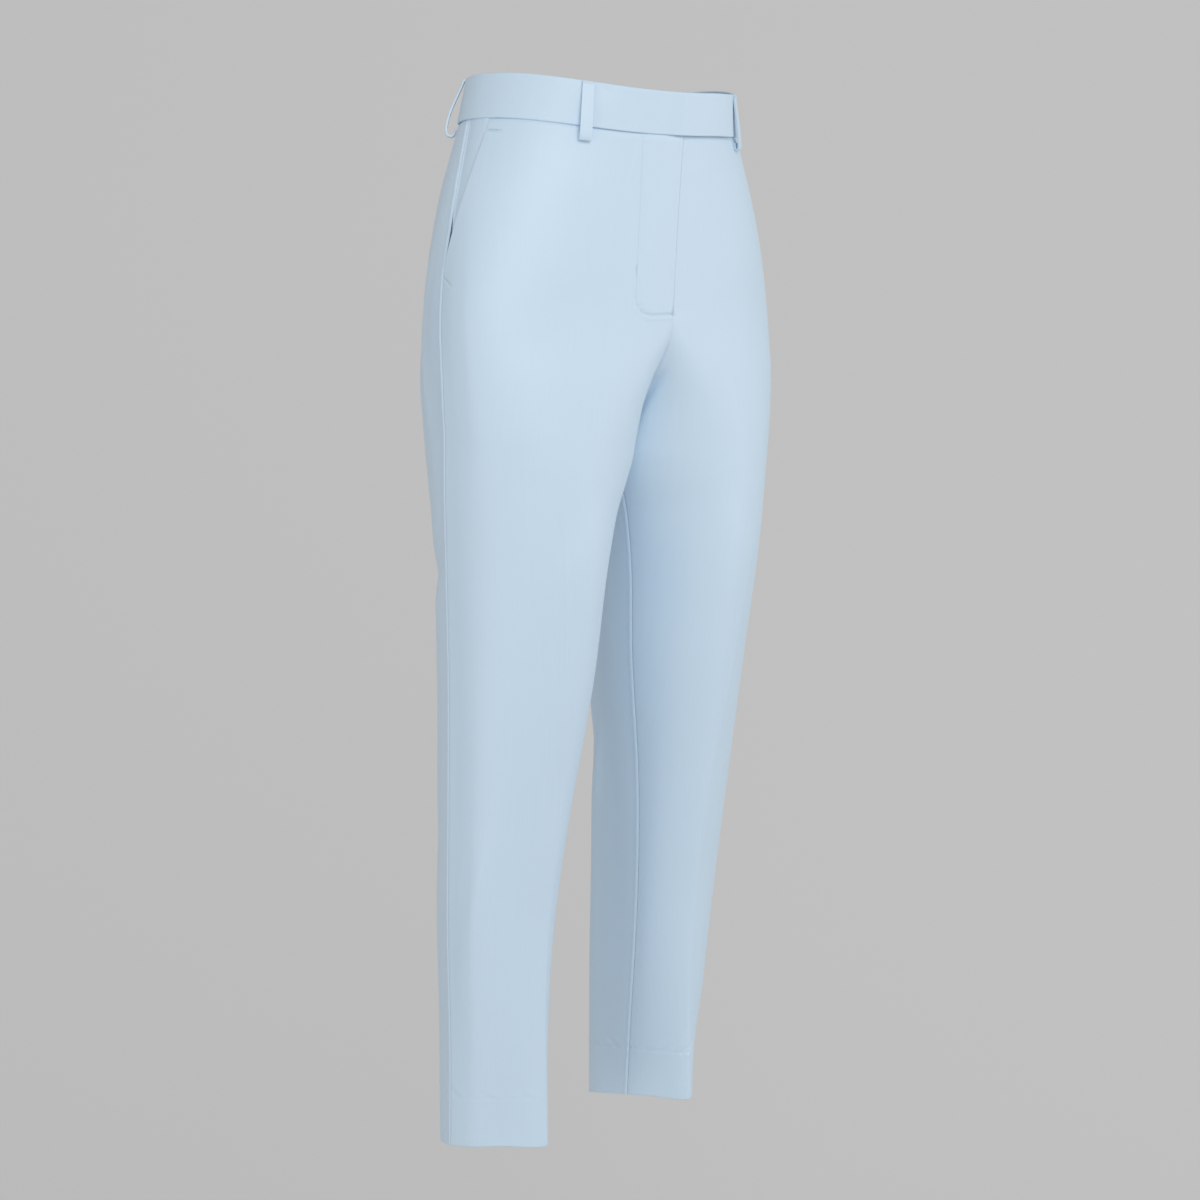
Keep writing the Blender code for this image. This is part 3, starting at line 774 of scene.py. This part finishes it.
# ================================================================ the belt loops
# Five straps of folded cloth.  Each is caught in the band's top edge, slants away from
# the band on its way down, and is turned under and tacked below the waist seam.
LOOP_WIDTH = 10.0
LOOP_THICK = 1.5
LOOP_CROWN = 0.25  # the strap is a little fuller along its middle
LOOP_FOOT = 50.0  # drop where it has reached its foot's turn
LOOPS = (
    # name           side  turn at the top, and at the foot, and how far it stands off
    ("front_right", -1, 131.5, 128.5, 0.50),
    ("front_left", 1, 122.5, 124.5, 0.35),
    ("back_right", -1, 214.0, 214.0, 1.00),
    ("back_left", 1, 214.0, 214.0, 0.80),
    ("back_centre", 1, 270.0, 270.0, 0.80),
)
LOOP_PATH = (
    # step  drop  height of the strap's outer face above the skin, lying, and standing off
    (0, 3.0, 1.4, 0.0),
    (1, 0.2, 2.2, 0.0),
    (2, 2.0, 2.7, 0.4),
    (3, 8.0, 2.9, 1.4),
    (4, 20.0, 3.0, 4.3),
    (5, 32.0, 3.0, 6.6),
    (6, 42.0, 2.9, 7.0),
    (7, 48.8, 2.6, 5.2),
    (8, 50.4, 1.7, 2.2),
    (9, 49.4, 0.6, 0.5),
    (10, 46.5, 0.1, 0.0),
    (11, 43.5, 0.0, 0.0),
)


def belt_loop(word, side, top, foot, off):
    """A strap along LOOP_PATH, its width laid round the ring."""
    step = np.linspace(0, 11, 78)
    drop = through(LOOP_PATH, 1, step)
    height = through(LOOP_PATH, 2, step) + off * through(LOOP_PATH, 3, step)
    middle = np.radians(top + (foot - top) * np.clip(drop / LOOP_FOOT, 0.0, 1.0))
    offsets = LOOP_WIDTH * (closer_at_ends(10, 0.5) - 0.5)
    drop = np.broadcast_to(drop[:, None], (len(step), len(offsets)))
    turn = arc(np.full(drop.shape, BAND / 2), np.broadcast_to(middle[:, None], drop.shape),
               np.broadcast_to(offsets, drop.shape))
    _, out = all_round(np.full(drop.shape, BAND / 2), turn)
    points, _ = all_round(drop, turn)
    crown = LOOP_CROWN * (1.0 - (2 * offsets / LOOP_WIDTH) ** 2)
    points = points + out * (height[:, None] + crown)[..., None]
    return cloth_grid("loop_" + word, points, side, LOOP_THICK, flat_uv(points, 5), suiting, bevel=0.5)


for word, side, top, foot, off in LOOPS:
    dress(belt_loop(word, side, top, foot, off), "belt_loop_" + word)


# ================================================================ the sewing
# Matching polyester thread: the J-shaped line that holds the fly, a bar tack beside it,
# and bar tacks at both ends of each pocket mouth.
SEWING_THREAD = (0.590, 0.738, 0.870)
THREAD_SHADE = 0.93  # the darker plies, as a share of the thread's colour
THREAD_WIDTH = 0.42
STITCH_LENGTH = 2.4
STITCH_STEP = 3.0
TACK_SLANT = 0.35
FLY_TACK, FLY_TACK_LONG = (160.0, 102.0), 0.007  # drop and turn of its top, and metres down
MOUTH_TACK = ((48.0, 173.0), (48.0, 164.0))  # drop and turn of its ends, at the mouth's top
FOOT_TACK = ((172.0, 192.0), (180.0, 184.0))  # and at the mouth's foot


def thread_material():
    """Smooth polyester thread, a little brighter and glossier than the cloth."""
    mat = bpy.data.materials.new("sewing thread")
    mat.use_nodes = True
    tree = mat.node_tree
    shader = tree.nodes["Principled BSDF"]
    shader.inputs["Sheen Weight"].default_value = 0.2
    place = tree.nodes.new("ShaderNodeTexCoord")
    ply = tree.nodes.new("ShaderNodeTexNoise")
    ply.inputs["Scale"].default_value = 2500.0
    shade = tree.nodes.new("ShaderNodeMapRange")
    shade.inputs["To Min"].default_value = 0.42
    shade.inputs["To Max"].default_value = 0.56
    tint = tree.nodes.new("ShaderNodeMix")
    tint.data_type = "RGBA"
    tint.inputs["A"].default_value = (*[THREAD_SHADE * c for c in SEWING_THREAD], 1.0)
    tint.inputs["B"].default_value = (*SEWING_THREAD, 1.0)
    tree.links.new(place.outputs["Object"], ply.inputs["Vector"])
    tree.links.new(ply.outputs["Fac"], shade.inputs["Value"])
    tree.links.new(ply.outputs["Fac"], tint.inputs["Factor"])
    tree.links.new(tint.outputs["Result"], shader.inputs["Base Color"])
    tree.links.new(shade.outputs["Result"], shader.inputs["Roughness"])
    return mat


thread = thread_material()


def cloth_tree(obj):
    """The finished cloth as a search tree, so that thread can lie on its face."""
    depsgraph = bpy.context.evaluated_depsgraph_get()
    return BVHTree.FromObject(obj, depsgraph)


def stitches(name, cloth, ends, width=THREAD_WIDTH):
    """Short rounded threads on a piece of cloth, from pairs of end points in metres.

    Each is three six-sided rings along its axis, the middle one full and the end ones
    narrow, closed by a point at each end and half sunk in the cloth.
    """
    tree = cloth_tree(cloth)
    found = [[tree.find_nearest(Vector(p)) for p in pair] for pair in ends]
    start, stop = (np.array([pair[i][0] for pair in found]) for i in (0, 1))
    up = np.array([pair[0][1] for pair in found])
    along = stop - start
    long = np.linalg.norm(along, axis=1, keepdims=True)
    along = along / long
    sideways = np.cross(up, along)
    sideways /= np.linalg.norm(sideways, axis=1, keepdims=True)
    above = np.cross(along, sideways)
    stations, radii = (0.0, 0.16, 0.5, 0.84, 1.0), (0.0, 0.75, 1.0, 0.75, 0.0)
    around = np.arange(6) * pi / 3
    rings = []
    for station, radius in zip(stations, radii):
        centre = start + along * long * station + above * width * MM * 0.25 * radius
        turns = around if radius else around[:1]
        ring = (centre[:, None] + 0.5 * width * MM * radius
                * (np.cos(turns)[None, :, None] * sideways[:, None]
                   + np.sin(turns)[None, :, None] * above[:, None]))
        rings.append(ring)
    verts = np.concatenate(rings, axis=1)  # 1 + 6 + 6 + 6 + 1 points a stitch
    k, nxt = np.arange(6), (np.arange(6) + 1) % 6
    fans = [np.stack([np.zeros(6, int), 1 + nxt, 1 + k], 1),
            np.stack([np.full(6, 19), 13 + k, 13 + nxt], 1)]
    quads = [np.stack([a + k, a + nxt, a + 6 + nxt, a + 6 + k], 1) for a in (1, 7)]
    count = len(verts)
    shift = 20 * np.arange(count)[:, None, None]
    faces = [(np.concatenate(f)[None] + shift).reshape(-1, f[0].shape[1]).tolist()
             for f in (fans, quads)]
    mesh = bpy.data.meshes.new(name)
    mesh.from_pydata(verts.reshape(-1, 3).tolist(), [], faces[0] + faces[1])
    mesh.shade_smooth()
    mesh.materials.append(thread)
    obj = bpy.data.objects.new(name, mesh)
    bpy.context.scene.collection.objects.link(obj)
    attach(obj, "root")


def running(path):
    """Ends of stitches spaced along a path of points in metres."""
    step = np.linalg.norm(np.diff(path, axis=0), axis=1)
    length = np.concatenate([[0.0], np.cumsum(step)])
    begin = np.arange(0.0, length[-1] - STITCH_LENGTH * MM, STITCH_STEP * MM)
    at = [np.stack([np.interp(b, length, path[:, k]) for k in range(3)], 1)
          for b in (begin, begin + STITCH_LENGTH * MM)]
    return np.stack(at, 1)


def bar_tack(start, stop, wide, count):
    """Ends of a close zigzag between two points in metres, wide mm across."""
    t = np.linspace(0.0, 1.0, count)[:, None]
    middle = start + (stop - start) * t
    along = (stop - start) / np.linalg.norm(stop - start)
    aside = np.cross(along, np.array([0.0, 1.0, 0.0]))
    aside = aside / np.linalg.norm(aside) * wide * MM / 2
    slant = along * TACK_SLANT * MM
    return np.stack([middle - aside - slant, middle + aside + slant], 1)


def on_skin(drop, degrees_round, side):
    """A point of the skin in metres, on the given side."""
    place = skin(drop, np.radians(degrees_round))
    return leaned(place * np.array([-side, 1.0, 1.0])) * MM


# the fly's line: straight down beside the opening, round the corner, and across to it
down_line = np.linspace(BAND + 2, FLY_END - FLY_CORNER, 40)
bend_turn = np.linspace(0.0, pi / 2, 20)[1:]
fly_x = np.concatenate([np.full(40, FLY_WIDTH), FLY_WIDTH - FLY_CORNER * (1 - np.cos(bend_turn)),
                        np.linspace(FLY_WIDTH - FLY_CORNER, 3.0, 12)[1:]])
fly_drop = np.concatenate([down_line, FLY_END - FLY_CORNER * (1 - np.sin(bend_turn)),
                           np.full(11, FLY_END)])
ring_turns = np.linspace(pi / 2, radians(150), 400)
fly_line = []
for x, drop in zip(fly_x, fly_drop):
    ring = skin(drop, ring_turns)
    fly_line.append([np.interp(x, -ring[:, 0], ring[:, k]) for k in range(3)])
fly_line = np.array(fly_line) * MM
stitches("fly_stitching", panels["front_right"], running(fly_line))
fly_tack = on_skin(*FLY_TACK, -1)
stitches("fly_tack", panels["front_right"],
         bar_tack(fly_tack, fly_tack + np.array([0, 0, -FLY_TACK_LONG]), 1.6, 12))

for side, word in ((-1, "right"), (1, "left")):
    front = panels["front_" + word]
    mouth = bar_tack(*(on_skin(*end, side) for end in MOUTH_TACK), 1.3, 30)
    foot = bar_tack(*(on_skin(*end, side) for end in FOOT_TACK), 1.3, 38)
    stitches("pocket_tacks_" + word, front, np.concatenate([mouth, foot]))


# ================================================================ the studio
# A plain pale sweep well below and behind, a broad soft light before the garment, weaker
# ones at its other side and low beside the legs, and even light from all round.
FLOOR_DROP = 1.75
SWEEP = 3.2  # metres behind the garment where the floor has turned up into a wall
SWEEP_BEND, SWEEP_HALF, SWEEP_TOP = 1.5, 6.0, 8.0  # its radius, half its width, its height
STUDIO_GREY, STUDIO_GLOW = (0.40, 0.40, 0.40), 0.255  # half lit, half even
ROOM_LIGHT = 0.47
LIGHT_AIM = -0.45  # height of the garment's middle

LIGHTS = (
    # name        turn  height  distance  size  power
    ("key light", 30.0, 1.1, 3.0, 2.0, 46.0),
    ("fill light", -50.0, 0.1, 3.0, 2.0, 22.0),
    ("low light", 95.0, -0.8, 2.6, 1.6, 10.5),
)

VIEW_TURN = radians(46.39)  # the camera's place, toward the wearer's right
VIEW_DISTANCE = 2.512
VIEW_HEIGHT = -0.116
VIEW_TILT = radians(7.47)
VIEW_PAN = radians(-0.13)
VIEW_LENS, VIEW_SENSOR = 83.97, 36.0  # mm


def studio_sweep():
    """A floor that curves up into a wall behind the garment, as seen from the camera."""
    reach = np.linspace(-SWEEP_HALF, SWEEP_HALF, 25)
    bend = np.linspace(0.0, pi / 2, 16)
    curve = np.stack([SWEEP - SWEEP_BEND + SWEEP_BEND * np.sin(bend),
                      SWEEP_BEND - SWEEP_BEND * np.cos(bend)], 1)
    profile = np.concatenate([[[-SWEEP_HALF, 0.0]], curve, [[SWEEP, SWEEP_TOP]]])
    away = np.array([sin(VIEW_TURN), cos(VIEW_TURN)])
    aside = np.array([cos(VIEW_TURN), -sin(VIEW_TURN)])
    ground = profile[:, None, :1] * away + reach[None, :, None] * aside
    height = np.broadcast_to(profile[:, None, 1:] - FLOOR_DROP, ground.shape[:2] + (1,))
    points = np.concatenate([ground, height], -1)
    rows, columns = points.shape[:2]
    index = np.arange(rows * columns).reshape(rows, columns)
    faces = np.stack([index[:-1, :-1], index[:-1, 1:], index[1:, 1:], index[1:, :-1]], -1)
    mesh = bpy.data.meshes.new("studio_sweep")
    mesh.from_pydata(points.reshape(-1, 3).tolist(), [], faces.reshape(-1, 4).tolist())
    mesh.shade_smooth()
    paper = bpy.data.materials.new("studio paper")
    paper.use_nodes = True
    shader = paper.node_tree.nodes["Principled BSDF"]
    shader.inputs["Base Color"].default_value = (*STUDIO_GREY, 1.0)
    shader.inputs["Emission Color"].default_value = (1.0, 1.0, 1.0, 1.0)
    shader.inputs["Emission Strength"].default_value = STUDIO_GLOW
    shader.inputs["Roughness"].default_value = 0.9
    shader.inputs["Specular IOR Level"].default_value = 0.0
    mesh.materials.append(paper)
    obj = bpy.data.objects.new("studio_sweep", mesh)
    bpy.context.scene.collection.objects.link(obj)


def soft_light(name, turn, height, distance, size, power):
    """A square area light on a circle round the garment, aimed at its middle."""
    lamp = bpy.data.lights.new(name, "AREA")
    lamp.shape, lamp.size, lamp.energy = "SQUARE", size, power
    obj = bpy.data.objects.new(name, lamp)
    place = Vector((-sin(turn) * distance, -cos(turn) * distance, height))
    obj.location = place
    aim = Vector((0, 0, LIGHT_AIM)) - place
    obj.rotation_euler = aim.to_track_quat("-Z", "Y").to_euler()
    bpy.context.scene.collection.objects.link(obj)


studio_sweep()
for name, turn, height, distance, size, power in LIGHTS:
    soft_light(name, radians(turn), height, distance, size, power)

world = bpy.data.worlds.new("studio air")
world.use_nodes = True
world.node_tree.nodes["Background"].inputs["Color"].default_value = (1.0, 1.0, 1.0, 1.0)
world.node_tree.nodes["Background"].inputs["Strength"].default_value = ROOM_LIGHT
bpy.context.scene.world = world
bpy.context.scene.view_settings.view_transform = "Standard"

lens = bpy.data.cameras.new("camera")
lens.lens, lens.sensor_width = VIEW_LENS, VIEW_SENSOR
camera = bpy.data.objects.new("camera", lens)
camera.location = (-sin(VIEW_TURN) * VIEW_DISTANCE, -cos(VIEW_TURN) * VIEW_DISTANCE, VIEW_HEIGHT)
camera.rotation_euler = (pi / 2 - VIEW_TILT, 0.0, -(VIEW_TURN + VIEW_PAN))
bpy.context.scene.collection.objects.link(camera)
bpy.context.scene.camera = camera
